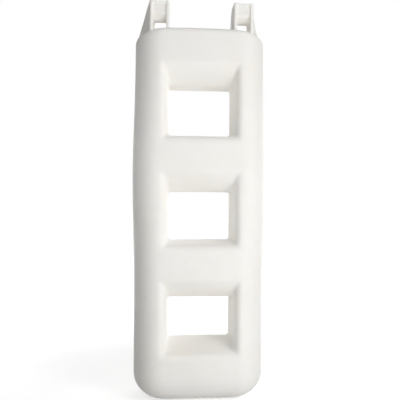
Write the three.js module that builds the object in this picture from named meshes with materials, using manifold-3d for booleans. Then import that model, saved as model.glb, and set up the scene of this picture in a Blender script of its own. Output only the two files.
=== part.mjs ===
// Ladder fender: one hollow soft-plastic moulding with three step openings and two rope eyes.
// Units are millimetres. X runs across the fender, Y runs from the front face to the back face,
// Z is up, and the origin is at the middle of the base.
import * as THREE from 'three';
import { mergeVertices } from 'three/addons/utils/BufferGeometryUtils.js';
import Module from 'manifold-3d';

const wasm = await Module();
wasm.setup();

// Driving dimensions of the body
const bodyHeight = 716;
const bodyDepth = 120;
const endHalfWidth = 128.2;
const swell = 4.8;
const swellHeight = 436;
const swellReach = 130;
const sideRoundWidth = 55;
const sideSharpening = 3;
const baseRoundDepth = 38;
const baseRoundWidth = 50;
const baseRoundHeight = 46;
const topRound = 10;
const topCrown = 10.5;
const crownPower = 3.5;
const crownReach = 150;

// Driving dimensions of the three step openings
const stepCount = 3;
const stepPitch = 207.5;
const lowestCeiling = 196.6;
const lowestFloor = 94;
const throatHalfWidth = 61.8;
const mouthHalfWidth = 68.5;
const mouthRound = 14;
const floorRound = 14;
const rungRollHeight = 40;
const rungRollDepth = 40;
const rungEdgePower = 0.8;
const rungFlatPower = 1.3;
const floorRise = 7.4;
const lowestFloorRise = 22;
const floorCorner = 6;
const ceilingCorner = 3.5;

// Driving dimensions of the two rope eyes
const eyeHeight = 52.3;
const eyeFrontSetback = 8;
const eyeInnerX = 61.5;
const eyeFrontWidth = 37.5;
const innerWebThickness = 6;
const outerWebThickness = 5;
const eyeRoot = 22;
const rootTaper = 0.5;
const innerBackRun = 56.5;
const outerBackRun = 72.5;
const backLean = 35;
const leanPower = 1.75;
const flankFlareBase = 0.355;
const flankFlareTop = 0.16;
const eyeCorner = 2.5;
const eyeTopRound = 3;
const lipDip = 2.3;
const lipHeight = 12.5;
const ropeHoleHeight = 16.5;
const ropeHoleDepth = 25;
const neckInset = 3.7;
const backMouthRise = 24;
const backMouthSpread = 12;

// How far a cutting shape runs on past the surface that it opens
const cutOverrun = 8;

// Fineness of the curved surfaces
const sideSegments = 22;
const heightSegments = 26;
const baseSegments = 8;
const topSegments = 4;
const depthSegments = 12;
const cornerSegments = 4;
const eyeSegments = 8;
const pocketSegments = 9;

const halfDepth = bodyDepth / 2;
const frontY = -halfDepth;
const quarterTurn = Math.PI / 2;

// Turns rings of points, all with the same count, into one closed solid
function loft(rings) {
  const count = rings[0].length;
  const positions = [];
  const indices = [];
  for (const ring of rings) {
    for (const point of ring) {
      positions.push(point.x, point.y, point.z);
    }
  }
  for (let ring = 0; ring < rings.length - 1; ring += 1) {
    for (let i = 0; i < count; i += 1) {
      const next = (i + 1) % count;
      const a = ring * count + i;
      const b = ring * count + next;
      const c = (ring + 1) * count + next;
      const d = (ring + 1) * count + i;
      indices.push(a, b, c, a, c, d);
    }
  }
  addCap(rings[0], 0, true, positions, indices);
  addCap(rings[rings.length - 1], (rings.length - 1) * count, false, positions, indices);
  return solidFrom(positions, indices);
}

// Closes one end of a loft with a fan round the middle of its ring
function addCap(ring, first, flip, positions, indices) {
  const middle = new THREE.Vector3();
  for (const point of ring) {
    middle.add(point);
  }
  middle.divideScalar(ring.length);
  const centre = positions.length / 3;
  positions.push(middle.x, middle.y, middle.z);
  for (let i = 0; i < ring.length; i += 1) {
    const a = first + i;
    const b = first + ((i + 1) % ring.length);
    if (flip) {
      indices.push(centre, b, a);
    } else {
      indices.push(centre, a, b);
    }
  }
}

// Merges the shared vertices and hands the mesh over as a solid, turned outwards if need be
function solidFrom(positions, indices) {
  let geometry = new THREE.BufferGeometry();
  geometry.setAttribute('position', new THREE.Float32BufferAttribute(positions, 3));
  geometry.setIndex(indices);
  geometry.deleteAttribute('normal');
  geometry.deleteAttribute('uv');
  geometry = mergeVertices(geometry, 1e-4);
  const triVerts = Uint32Array.from(geometry.index.array);
  const vertProperties = Float32Array.from(geometry.attributes.position.array);
  if (signedVolume(vertProperties, triVerts) < 0) {
    for (let i = 0; i < triVerts.length; i += 3) {
      const swap = triVerts[i + 1];
      triVerts[i + 1] = triVerts[i + 2];
      triVerts[i + 2] = swap;
    }
  }
  return new wasm.Manifold(new wasm.Mesh({ numProp: 3, vertProperties, triVerts }));
}

function signedVolume(points, triangles) {
  const a = new THREE.Vector3();
  const b = new THREE.Vector3();
  const c = new THREE.Vector3();
  let sum = 0;
  for (let i = 0; i < triangles.length; i += 3) {
    a.fromArray(points, triangles[i] * 3);
    b.fromArray(points, triangles[i + 1] * 3);
    c.fromArray(points, triangles[i + 2] * 3);
    sum += a.dot(b.cross(c));
  }
  return sum / 6;
}

// Quarter of an ellipse: 0 at its start, 1 where it runs out level
function roll(share) {
  const left = 1 - THREE.MathUtils.clamp(share, 0, 1);
  return Math.sqrt(1 - left * left);
}

// Share of the swell in the middle of the body that a height gets
function swellAt(z) {
  const offset = (z - swellHeight) / swellReach;
  return Math.exp(-offset * offset);
}

// How far the top sinks towards the sides, fading out below the top edge
function crownDrop(x, z) {
  const fade = THREE.MathUtils.smoothstep(z, bodyHeight - crownReach, bodyHeight);
  return topCrown * Math.pow(Math.abs(x) / endHalfWidth, crownPower) * fade;
}

// One level of the body: flat front and back joined by half-elliptic sides
function bodyRing(z) {
  const baseShare = roll(z / baseRoundHeight);
  const topShare = roll((bodyHeight - z) / topRound);
  const swollen = endHalfWidth + swell * swellAt(z);
  const halfWidth = swollen - baseRoundWidth * (1 - baseShare) - topRound * (1 - topShare);
  const depth = halfDepth - baseRoundDepth * (1 - baseShare) - topRound * (1 - topShare);
  const round = (sideRoundWidth - sideSharpening * swellAt(z)) * (depth / halfDepth);
  const points = [];
  for (const side of [1, -1]) {
    for (let i = 0; i <= sideSegments; i += 1) {
      const angle = -quarterTurn + (Math.PI * i) / sideSegments;
      const x = side * (halfWidth - round + round * Math.cos(angle));
      const y = side * depth * Math.sin(angle);
      points.push(new THREE.Vector3(x, y, z - crownDrop(x, z)));
    }
    for (const share of [0.5, 0, -0.5]) {
      const x = side * share * (halfWidth - round);
      points.push(new THREE.Vector3(x, side * depth, z - crownDrop(x, z)));
    }
  }
  return points;
}

// Heights of the rings: close together in the base and top roundings
function bodyHeights() {
  const heights = [];
  for (let i = 0; i < baseSegments; i += 1) {
    heights.push(baseRoundHeight * (1 - Math.cos((quarterTurn * i) / baseSegments)));
  }
  const straight = bodyHeight - topRound - baseRoundHeight;
  for (let i = 0; i < heightSegments; i += 1) {
    heights.push(baseRoundHeight + (straight * i) / heightSegments);
  }
  for (let i = 0; i <= topSegments; i += 1) {
    heights.push(bodyHeight - topRound + topRound * Math.sin((quarterTurn * i) / topSegments));
  }
  return heights;
}

// Outward offset of a mouth edge at a depth: a straight draft that rolls over onto the face
function mouthOffset(depth, throat, mouth, radius) {
  const slope = (mouth - throat) / halfDepth;
  const draft = Math.atan(slope);
  const tangent = radius * Math.tan((quarterTurn - draft) / 2);
  if (depth > tangent * Math.cos(draft)) {
    return throat + slope * (halfDepth - depth);
  }
  const inward = radius - Math.max(depth, 0);
  return mouth + tangent - Math.sqrt(radius * radius - inward * inward);
}

// How far the underside of a rung stands above its flat middle at a depth below the face
function rungRoll(depth) {
  const share = THREE.MathUtils.clamp(depth / rungRollDepth, 0, 1);
  return rungRollHeight * Math.pow(1 - Math.pow(share, rungEdgePower), rungFlatPower);
}

// One upright section of a step opening at a depth below the face
function openingSection(depth, floor, ceiling, rise) {
  const halfWidth = mouthOffset(depth, throatHalfWidth, mouthHalfWidth, mouthRound);
  const sink = mouthOffset(depth, 0, rise, floorRound);
  const top = ceiling + rungRoll(depth);
  const bottom = floor + rise - sink;
  return { halfWidth, top, bottom };
}

// Rectangle in the XZ plane at a given Y, with its lower and upper corners rounded
function roundedSection(left, right, bottom, top, low, high, y) {
  const points = [];
  const corners = [
    [right - low, bottom + low, low, -quarterTurn],
    [right - high, top - high, high, 0],
    [left + high, top - high, high, quarterTurn],
    [left + low, bottom + low, low, Math.PI],
  ];
  for (const [x, z, corner, start] of corners) {
    for (let i = 0; i <= cornerSegments; i += 1) {
      const angle = start + (quarterTurn * i) / cornerSegments;
      points.push(new THREE.Vector3(x + corner * Math.cos(angle), y, z + corner * Math.sin(angle)));
    }
  }
  return points;
}

// The space of one step opening, pinched at mid depth and open at both faces
function stepOpening(level) {
  const ceiling = lowestCeiling + level * stepPitch;
  const floor = lowestFloor + level * stepPitch;
  const rise = level === 0 ? lowestFloorRise : floorRise;
  const stations = [];
  for (let i = 1; i <= depthSegments; i += 1) {
    const depth = halfDepth * (1 - Math.cos((quarterTurn * i) / depthSegments));
    stations.push({ depth, ...openingSection(depth, floor, ceiling, rise) });
  }
  stations.unshift(beyondFace(stations[0], openingSection(0, floor, ceiling, rise)));
  const rings = [];
  for (const station of stations) {
    rings.push(openingRing(station, frontY + station.depth));
  }
  for (const station of stations.slice(0, -1).reverse()) {
    rings.push(openingRing(station, halfDepth - station.depth));
  }
  return loft(rings);
}

function openingRing(station, y) {
  const { halfWidth, bottom, top } = station;
  return roundedSection(-halfWidth, halfWidth, bottom, top, floorCorner, ceilingCorner, y);
}

// Carries the flare of a mouth straight on, as far outside the face as its first station is inside
function beyondFace(first, face) {
  const outside = { depth: -first.depth };
  for (const key of ['halfWidth', 'top', 'bottom']) {
    outside[key] = 2 * face[key] - first[key];
  }
  return outside;
}

// Level section of a rope eye: square front, splayed outer flank and oblique back
function eyeRing(z) {
  const rise = THREE.MathUtils.clamp((z - bodyHeight) / eyeHeight, 0, 1);
  const taper = rootTaper * Math.max(bodyHeight - z, 0);
  const lean = backLean * (1 - Math.sqrt(1 - Math.pow(rise, leanPower)));
  const topShare = roll((bodyHeight + eyeHeight - z) / eyeTopRound);
  const inset = eyeTopRound * (1 - topShare);
  const flare = THREE.MathUtils.lerp(flankFlareBase, flankFlareTop, rise);
  const outerRun = outerBackRun - lean - taper;
  const innerRun = innerBackRun - lean - taper;
  const front = frontY + eyeFrontSetback;
  const outerX = eyeInnerX + eyeFrontWidth;
  const corners = [
    new THREE.Vector2(eyeInnerX + inset, front + inset),
    new THREE.Vector2(outerX - inset, front + inset),
    new THREE.Vector2(outerX + flare * outerRun - inset - taper, front + outerRun - inset),
    new THREE.Vector2(eyeInnerX + inset, front + innerRun - inset),
  ];
  return roundCorners(corners, eyeCorner).map((p) => new THREE.Vector3(p.x, p.y, z));
}

// Replaces each corner of a convex outline with a small curve
function roundCorners(corners, size) {
  const points = [];
  for (let i = 0; i < corners.length; i += 1) {
    const corner = corners[i];
    const before = corners[(i + corners.length - 1) % corners.length];
    const after = corners[(i + 1) % corners.length];
    const start = corner.clone().add(before.clone().sub(corner).setLength(size));
    const end = corner.clone().add(after.clone().sub(corner).setLength(size));
    const curve = new THREE.QuadraticBezierCurve(start, corner, end);
    points.push(...curve.getPoints(cornerSegments - 1));
  }
  return points;
}

// The block of the right rope eye, from its root inside the body to its rounded top
function eyeBlock() {
  const heights = [bodyHeight - eyeRoot, bodyHeight];
  const straight = eyeHeight - eyeTopRound;
  for (let i = 1; i <= eyeSegments; i += 1) {
    heights.push(bodyHeight + straight * Math.sin((quarterTurn * i) / eyeSegments));
  }
  for (let i = 1; i <= cornerSegments; i += 1) {
    heights.push(bodyHeight + straight + eyeTopRound * Math.sin((quarterTurn * i) / cornerSegments));
  }
  return heights.map((z) => eyeRing(z));
}

// The space inside the right rope eye: a knot pocket from the front that narrows to a rope hole
function eyePocket() {
  const left = eyeInnerX + innerWebThickness;
  const right = eyeInnerX + eyeFrontWidth - outerWebThickness;
  const floor = bodyHeight - 2 * eyeRoot;
  const holeTop = bodyHeight + ropeHoleHeight;
  const pocketRise = eyeHeight - lipDip - lipHeight - ropeHoleHeight;
  const front = frontY + eyeFrontSetback;
  const rings = [];
  const addRing = (run, outer, top) => {
    rings.push(roundedSection(left, outer, floor, top, eyeCorner, eyeCorner, front + run));
  };
  for (let i = 1; i <= pocketSegments; i += 1) {
    const share = 1 - Math.cos((quarterTurn * i) / pocketSegments);
    const drop = pocketRise * roll(share);
    if (i === 1) {
      addRing(-ropeHoleDepth * share, right, holeTop + pocketRise + drop);
    }
    addRing(ropeHoleDepth * share, right - neckInset * share, holeTop + pocketRise - drop);
  }
  addRing(outerBackRun + cutOverrun, right - neckInset + backMouthSpread, holeTop + backMouthRise);
  return rings;
}

// The shallow dip in the lip between the two webs of the right rope eye
function lipChannel() {
  const left = eyeInnerX + innerWebThickness;
  const right = eyeInnerX + eyeFrontWidth - outerWebThickness;
  const bottom = bodyHeight + eyeHeight - lipDip;
  const front = frontY + eyeFrontSetback - cutOverrun;
  const back = front + outerBackRun + 2 * cutOverrun;
  const top = bottom + lipDip + cutOverrun;
  return [front, back].map((y) => roundedSection(left, right, bottom, top, lipDip, lipDip, y));
}

// A rope eye on the right, or its mirror image on the left for a side of minus one
function ropeEye(side) {
  const onSide = (rings) => loft(rings.map((ring) => ring.map((p) => p.clone().setX(side * p.x))));
  return onSide(eyeBlock()).subtract(onSide(eyePocket())).subtract(onSide(lipChannel()));
}

function fenderBody() {
  let body = loft(bodyHeights().map((z) => bodyRing(z)));
  for (let level = 0; level < stepCount; level += 1) {
    body = body.subtract(stepOpening(level));
  }
  for (const side of [1, -1]) {
    body = body.add(ropeEye(side));
  }
  return body;
}

function meshFrom(solid, name, material) {
  const result = solid.getMesh();
  const geometry = new THREE.BufferGeometry();
  geometry.setAttribute('position', new THREE.Float32BufferAttribute(result.vertProperties, 3));
  geometry.setIndex(Array.from(result.triVerts));
  geometry.computeVertexNormals();
  const mesh = new THREE.Mesh(geometry, material);
  mesh.name = name;
  return mesh;
}

const whitePlastic = new THREE.MeshStandardMaterial({ color: 0xefece6, roughness: 0.45, metalness: 0 });

const fender = new THREE.Group();
fender.add(meshFrom(fenderBody(), 'fender_body', whitePlastic));

export default fender;
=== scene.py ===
import math
import bmesh
import bpy
import numpy as np
from mathutils import Matrix, Vector


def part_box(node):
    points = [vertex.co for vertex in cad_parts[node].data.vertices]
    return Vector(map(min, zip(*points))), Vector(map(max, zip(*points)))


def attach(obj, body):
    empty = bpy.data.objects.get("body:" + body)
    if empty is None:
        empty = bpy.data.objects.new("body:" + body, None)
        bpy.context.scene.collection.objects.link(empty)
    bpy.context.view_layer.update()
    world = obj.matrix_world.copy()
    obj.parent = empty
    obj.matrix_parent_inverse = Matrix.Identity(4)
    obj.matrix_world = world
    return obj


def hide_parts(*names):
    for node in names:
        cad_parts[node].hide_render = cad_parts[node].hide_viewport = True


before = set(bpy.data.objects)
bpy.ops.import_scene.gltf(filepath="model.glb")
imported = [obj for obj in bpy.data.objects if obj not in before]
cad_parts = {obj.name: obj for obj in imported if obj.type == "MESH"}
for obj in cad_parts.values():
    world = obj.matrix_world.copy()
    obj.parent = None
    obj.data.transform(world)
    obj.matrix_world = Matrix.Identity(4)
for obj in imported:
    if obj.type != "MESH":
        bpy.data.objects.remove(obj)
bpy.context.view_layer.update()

# The solid's name in the model, whose own box places the recesses and the eyes' smoothing, and the fine
# piece's name
NODE = "fender_body"
PIECE = "moulded_fender"

# Fineness of the moulding: lengths in metres, and how often its body and its rope eyes are smoothed
MERGE_REACH = 1e-6
VOXEL = 0.0010
BODY_PASSES = 60
EYE_PASSES = 14
SMOOTH_FACTOR = 0.5
MOST_TRIANGLES = 190000

# Down to here from the top, in metres, the moulding keeps the lighter smoothing of the rope eyes
EYE_REACH = 0.0563

# The height over which that turns into the body's smoothing, in metres, and in how many steps
EYE_BLEND = 0.012
BLEND_STEPS = 20

# The recess under each eye's rim, in metres: out from the middle, back from the front, down from the top
RECESS_OUT = (0.0676, 0.0939)
RECESS_BACK = (-0.0020, 0.0112)
RECESS_DOWN = (0.0049, 0.0308)


def merged_copy(node):
    """A copy of a solid's mesh with the vertices of neighbouring faces joined."""
    mesh = node.data.copy()
    work = bmesh.new()
    work.from_mesh(mesh)
    bmesh.ops.remove_doubles(work, verts=work.verts, dist=MERGE_REACH)
    work.to_mesh(mesh)
    work.free()
    return mesh


def apply_modifiers(piece):
    """Replaces the piece's mesh by what its modifiers make of it."""
    graph = bpy.context.evaluated_depsgraph_get()
    mesh = bpy.data.meshes.new_from_object(piece.evaluated_get(graph), depsgraph=graph)
    piece.modifiers.clear()
    old = piece.data
    piece.data = mesh
    bpy.data.meshes.remove(old)


def heights_of(mesh):
    """The height of each vertex."""
    places = np.empty(len(mesh.vertices) * 3, np.float32)
    mesh.vertices.foreach_get("co", places)
    return places.reshape(-1, 3)[:, 2]


def soften(piece, passes, strength=None):
    """Rounds edges and evens out facets, with a strength for each vertex if given."""
    smooth = piece.modifiers.new("soften", "SMOOTH")
    smooth.factor = SMOOTH_FACTOR
    smooth.iterations = passes
    if strength is not None:
        group = piece.vertex_groups.new(name="soften")
        levels = np.round(strength * BLEND_STEPS) / BLEND_STEPS
        for level in np.unique(levels):
            members = np.nonzero(levels == level)[0].tolist()
            group.add(members, float(level), "REPLACE")
        smooth.vertex_group = group.name
    apply_modifiers(piece)
    piece.vertex_groups.clear()


def recess_cutter():
    """An object with a box for each rope eye, where the recess under its rim is cut."""
    lowest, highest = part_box(NODE)
    low = Vector((RECESS_OUT[0], lowest.y + RECESS_BACK[0], highest.z - RECESS_DOWN[1]))
    high = Vector((RECESS_OUT[1], lowest.y + RECESS_BACK[1], highest.z - RECESS_DOWN[0]))
    work = bmesh.new()
    for side in (-1, 1):
        middle = (low + high) / 2
        middle.x *= side
        bmesh.ops.create_cube(work, matrix=Matrix.LocRotScale(middle, None, high - low))
    mesh = bpy.data.meshes.new("recesses")
    work.to_mesh(mesh)
    work.free()
    return bpy.data.objects.new("recesses", mesh)


def cut_recesses(piece):
    """Cuts the recess that both rope eyes have under their rim."""
    cutter = recess_cutter()
    bpy.context.scene.collection.objects.link(cutter)
    cut = piece.modifiers.new("recess", "BOOLEAN")
    cut.operation = "DIFFERENCE"
    cut.solver = "EXACT"
    cut.object = cutter
    apply_modifiers(piece)
    mesh = cutter.data
    bpy.data.objects.remove(cutter)
    bpy.data.meshes.remove(mesh)


def fine_moulding(node):
    """The fender as one fine mesh, with the softened creases of a blown moulding."""
    piece = bpy.data.objects.new(PIECE, merged_copy(node))
    bpy.context.scene.collection.objects.link(piece)
    cut_recesses(piece)
    remesh = piece.modifiers.new("fine", "REMESH")
    remesh.mode = "VOXEL"
    remesh.voxel_size = VOXEL
    apply_modifiers(piece)
    soften(piece, EYE_PASSES)
    eyes_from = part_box(NODE)[1].z - EYE_REACH
    below_eyes = np.clip((eyes_from - heights_of(piece.data)) / EYE_BLEND, 0.0, 1.0)
    soften(piece, BODY_PASSES - EYE_PASSES, below_eyes)
    triangles = 2 * len(piece.data.polygons)
    thin = piece.modifiers.new("thin_out", "DECIMATE")
    thin.ratio = min(1.0, MOST_TRIANGLES / triangles)
    apply_modifiers(piece)
    piece.data.shade_smooth()
    return piece


class Nodes:
    """A short way to add and link the nodes of a material or of the world."""

    def __init__(self, owner):
        owner.use_nodes = True
        self.tree = owner.node_tree
        self.tree.nodes.clear()

    def feed(self, node, key, value):
        """Links a socket to an input of a node, or sets the input to a value."""
        if isinstance(value, bpy.types.NodeSocket):
            self.tree.links.new(value, node.inputs[key])
        else:
            node.inputs[key].default_value = value

    def add(self, kind, **inputs):
        """A new node with its inputs fed by name, written with _ for a space."""
        node = self.tree.nodes.new(kind)
        for key, value in inputs.items():
            self.feed(node, key.replace("_", " "), value)
        return node

    def math(self, operation, first, second=0.0):
        """The result of an operation on one or two values."""
        node = self.tree.nodes.new("ShaderNodeMath")
        node.operation = operation
        self.feed(node, 0, first)
        self.feed(node, 1, second)
        return node.outputs[0]

    def noise(self, place, scale, detail, roughness):
        """A noise of a scale, detail and roughness at each place."""
        node = self.add("ShaderNodeTexNoise", Vector=place, Scale=scale, Detail=detail, Roughness=roughness)
        return node.outputs["Fac"]

    def weighted_sum(self, noises, weights):
        """The named noises added up, each times its weight."""
        total = 0.0
        for name, weight in weights.items():
            total = self.math("ADD", self.math("MULTIPLY", noises[name], weight), total)
        return total

    def ramp(self, value, span, ends):
        """Goes smoothly from the first end to the second as the value goes across the span."""
        node = self.add("ShaderNodeMapRange", Value=value)
        node.interpolation_type = "SMOOTHSTEP"
        for key, number in zip(("From Min", "From Max", "To Min", "To Max"), (*span, *ends)):
            node.inputs[key].default_value = number
        return node.outputs["Result"]

    def mix_colours(self, share, first, second):
        """Goes from the first colour to the second as the share goes from 0 to 1."""
        node = self.tree.nodes.new("ShaderNodeMix")
        node.data_type = "RGBA"
        self.feed(node, 0, share)
        colour_inputs = [socket for socket in node.inputs if socket.type == "RGBA"]
        for socket, colour in zip(colour_inputs, (first, second)):
            socket.default_value = colour
        return next(socket for socket in node.outputs if socket.type == "RGBA")


# The plastic's two shades of white, in linear red, green and blue
PVC_WARM = (0.930, 0.907, 0.860, 1.0)
PVC_COOL = (0.945, 0.928, 0.893, 1.0)

# Each noise in the plastic: its scale per metre, its detail and its roughness
NOISES = {
    "cloud": (7.0, 3.0, 0.5),
    "blotch": (55.0, 4.0, 0.6),
    "wave": (22.0, 1.0, 0.5),
    "peel": (260.0, 3.0, 0.5),
    "grain": (1500.0, 2.0, 0.5),
}

# What turns the warm white into the cool one: the weight of each noise, and the span of their sum
TINT_WEIGHTS = {"cloud": 0.7, "blotch": 0.3}
TINT_SPAN = (0.38, 0.62)

# The roughness at both ends of a span of the blotches
ROUGHNESS_ENDS = (0.56, 0.66)
ROUGHNESS_SPAN = (0.3, 0.7)

# How far the noises and the mould's closing line raise the surface, and half that line's width, in metres
RELIEF_WEIGHTS = {"wave": 0.0002, "peel": 0.00003, "grain": 0.000012}
SEAM_HEIGHT = 0.0002
SEAM_HALF_WIDTH = 0.0009

# What is the same all over the plastic, with the reach of light under its surface in metres
PVC_UNIFORM = {
    "IOR": 1.45,
    "Specular IOR Level": 0.4,
    "Subsurface Weight": 0.25,
    "Subsurface Radius": (1.0, 0.85, 0.7),
    "Subsurface Scale": 0.006,
}


def pvc_material():
    """Soft white PVC: satin, faintly wavy and grained, with the thin line where the mould closed."""
    material = bpy.data.materials.new("soft_white_pvc")
    nodes = Nodes(material)
    place = nodes.add("ShaderNodeTexCoord").outputs["Object"]
    noises = {name: nodes.noise(place, *values) for name, values in NOISES.items()}
    coolness = nodes.ramp(nodes.weighted_sum(noises, TINT_WEIGHTS), TINT_SPAN, (0.0, 1.0))
    tint = nodes.mix_colours(coolness, PVC_WARM, PVC_COOL)
    roughness = nodes.ramp(noises["blotch"], ROUGHNESS_SPAN, ROUGHNESS_ENDS)
    depth = nodes.add("ShaderNodeSeparateXYZ", Vector=place).outputs["Y"]
    seam = nodes.ramp(nodes.math("ABSOLUTE", depth), (0.0, SEAM_HALF_WIDTH), (SEAM_HEIGHT, 0.0))
    height = nodes.math("ADD", nodes.weighted_sum(noises, RELIEF_WEIGHTS), seam)
    bump = nodes.add("ShaderNodeBump", Height=height, Strength=1.0, Distance=1.0)
    shader = nodes.add("ShaderNodeBsdfPrincipled", Base_Color=tint, Roughness=roughness)
    nodes.feed(shader, "Normal", bump.outputs["Normal"])
    for key, value in PVC_UNIFORM.items():
        shader.inputs[key].default_value = value
    nodes.add("ShaderNodeOutputMaterial", Surface=shader.outputs["BSDF"])
    return material


# The floor's colour, in linear red, green and blue, and half its width in metres
FLOOR_COLOUR = (0.80, 0.80, 0.80, 1.0)
FLOOR_HALF = 40.0

# Plain white that the eye sees in the floor: less near the fender, so that its soft shadow shows there
FLOOR_WHITE_ENDS = (0.56, 1.0)

# The distances from the fender, in metres, between which that white goes from less to full
FLOOR_WHITE_SPAN = (0.25, 0.90)

# Strength of the even light from all round, and of the white background that the eye sees
WORLD_LIGHT = 0.03
BACKDROP_LIGHT = 1.0
WHITE = (1.0, 1.0, 1.0, 1.0)


def seen_ray(nodes):
    """One for a ray that shows the background: from the eye, or through gloss or glass."""
    path = nodes.add("ShaderNodeLightPath")
    seen = path.outputs["Is Camera Ray"]
    for name in ("Is Glossy Ray", "Is Transmission Ray"):
        seen = nodes.math("MAXIMUM", seen, path.outputs[name])
    return seen


def floor_material():
    """A pale matt floor that looks white and keeps a soft part of the object's shadow."""
    material = bpy.data.materials.new("pale_floor")
    nodes = Nodes(material)
    place = nodes.add("ShaderNodeTexCoord").outputs["Object"]
    distance = nodes.add("ShaderNodeVectorMath", Vector=place)
    distance.operation = "LENGTH"
    white = nodes.ramp(distance.outputs["Value"], FLOOR_WHITE_SPAN, FLOOR_WHITE_ENDS)
    matt = nodes.add("ShaderNodeBsdfDiffuse", Color=FLOOR_COLOUR)
    strength = nodes.math("MULTIPLY", seen_ray(nodes), white)
    glow = nodes.add("ShaderNodeEmission", Color=WHITE, Strength=strength)
    both = nodes.add("ShaderNodeAddShader")
    nodes.feed(both, 0, matt.outputs[0])
    nodes.feed(both, 1, glow.outputs[0])
    nodes.add("ShaderNodeOutputMaterial", Surface=both.outputs[0])
    return material


def make_floor():
    """A wide flat floor under the fender's base."""
    mesh = bpy.data.meshes.new("floor")
    corners = [(x * FLOOR_HALF, y * FLOOR_HALF, 0.0) for x, y in ((-1, -1), (1, -1), (1, 1), (-1, 1))]
    mesh.from_pydata(corners, [], [(0, 1, 2, 3)])
    mesh.materials.append(floor_material())
    floor = bpy.data.objects.new("floor", mesh)
    bpy.context.scene.collection.objects.link(floor)


def make_world():
    """Even light from all round, with plain white for the background that the eye sees."""
    world = bpy.data.worlds.new("studio")
    nodes = Nodes(world)
    light = nodes.add("ShaderNodeBackground", Color=WHITE, Strength=WORLD_LIGHT)
    backdrop = nodes.add("ShaderNodeBackground", Color=WHITE, Strength=BACKDROP_LIGHT)
    mix = nodes.add("ShaderNodeMixShader")
    nodes.feed(mix, 0, seen_ray(nodes))
    nodes.feed(mix, 1, light.outputs[0])
    nodes.feed(mix, 2, backdrop.outputs[0])
    nodes.add("ShaderNodeOutputWorld", Surface=mix.outputs[0])
    bpy.context.scene.world = world


# The middle of the fender, which most lamps are aimed at
MIDDLE = (0.0, 0.0, 0.38)

# Each lamp: where it is and what it is aimed at, its width and height in metres, and its power in watts
LAMPS = {
    "key": ((1.00, -1.15, 0.875), MIDDLE, 0.50, 0.50, 3.8),
    "key_high": ((1.08, -0.91, 1.13), MIDDLE, 0.30, 0.30, 3.3),
    "low_right": ((0.50, -0.70, 0.05), (0.0, -0.10, 0.50), 0.40, 0.20, 1.95),
    "front": ((0.0, -1.00, 0.415), MIDDLE, 0.40, 0.40, 2.05),
    "left": ((-0.531, -0.142, 0.52), (0.0, 0.0, 0.44), 0.20, 0.20, 0.31),
    "top_front": ((0.0, -1.13, 1.51), MIDDLE, 1.00, 1.00, 2.2),
    "top_near": ((0.0, -0.25, 1.25), (0.0, 0.0, 0.74), 0.50, 0.30, 0.6),
    "floor_card": ((0.0, -1.00, 0.008), (0.0, -1.00, 1.0), 1.20, 0.60, 2.8),
    "base_card": ((0.0, -0.20, 0.008), (0.0, -0.20, 1.0), 0.35, 0.12, 0.06),
    "right_back": ((1.22, 1.025, 0.52), MIDDLE, 0.80, 0.70, 8.4),
    "left_back": ((-0.635, 1.016, 0.443), MIDDLE, 0.30, 0.60, 1.5),
    "low_back": ((-0.58, 1.004, 0.07), MIDDLE, 0.40, 0.20, 1.4),
    "top_back": ((0.0, 1.23, 1.24), MIDDLE, 0.80, 0.50, 2.5),
    "back": ((0.0, 1.773, 0.693), MIDDLE, 1.40, 1.00, 5.0),
}


def make_lamp(name, place, target, width, height, power):
    """A rectangular soft lamp at a place, aimed at a target and unseen by the camera."""
    lamp = bpy.data.lights.new(name, "AREA")
    lamp.shape = "RECTANGLE"
    lamp.size = width
    lamp.size_y = height
    lamp.energy = power
    rig = bpy.data.objects.new(name, lamp)
    rig.location = place
    rig.rotation_euler = (Vector(target) - Vector(place)).to_track_quat("-Z", "Y").to_euler()
    rig.visible_camera = False
    bpy.context.scene.collection.objects.link(rig)


# The photograph's lens, with its focal length and width in pixels and the sensor's width in millimetres
FOCAL_PIXELS = 466.8
PHOTO_WIDTH = 400
SENSOR = 36.0

# Where the photograph was taken from, in metres, and how the camera was turned
CAMERA_PLACE = Vector((-0.0661, -0.940, 0.388))
CAMERA_YAW = math.radians(4.18)
CAMERA_ROLL = math.radians(0.40)


def make_camera():
    """The photographed view: level, turned a little to the right and rolled a little."""
    ahead = Vector((math.sin(CAMERA_YAW), math.cos(CAMERA_YAW), 0.0))
    level = Vector((math.cos(CAMERA_YAW), -math.sin(CAMERA_YAW), 0.0))
    upright = Vector((0.0, 0.0, 1.0))
    right = math.cos(CAMERA_ROLL) * level + math.sin(CAMERA_ROLL) * upright
    up = math.cos(CAMERA_ROLL) * upright - math.sin(CAMERA_ROLL) * level
    data = bpy.data.cameras.new("photo_view")
    data.sensor_width = SENSOR
    data.lens = SENSOR * FOCAL_PIXELS / PHOTO_WIDTH
    camera = bpy.data.objects.new("photo_view", data)
    turn = Matrix((right, up, -ahead)).transposed()
    camera.matrix_world = Matrix.Translation(CAMERA_PLACE) @ turn.to_4x4()
    bpy.context.scene.collection.objects.link(camera)
    bpy.context.scene.camera = camera


def make_fender():
    """The moulding in its plastic, in place of the faceted solid."""
    piece = fine_moulding(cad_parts[NODE])
    piece.data.materials.clear()
    piece.data.materials.append(pvc_material())
    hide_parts(NODE)
    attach(piece, "root")


def main():
    """The camera, the studio and the fender, seen through the Standard view transform."""
    make_camera()
    make_world()
    make_floor()
    for name, values in LAMPS.items():
        make_lamp(name, *values)
    make_fender()
    bpy.context.scene.view_settings.view_transform = "Standard"


main()
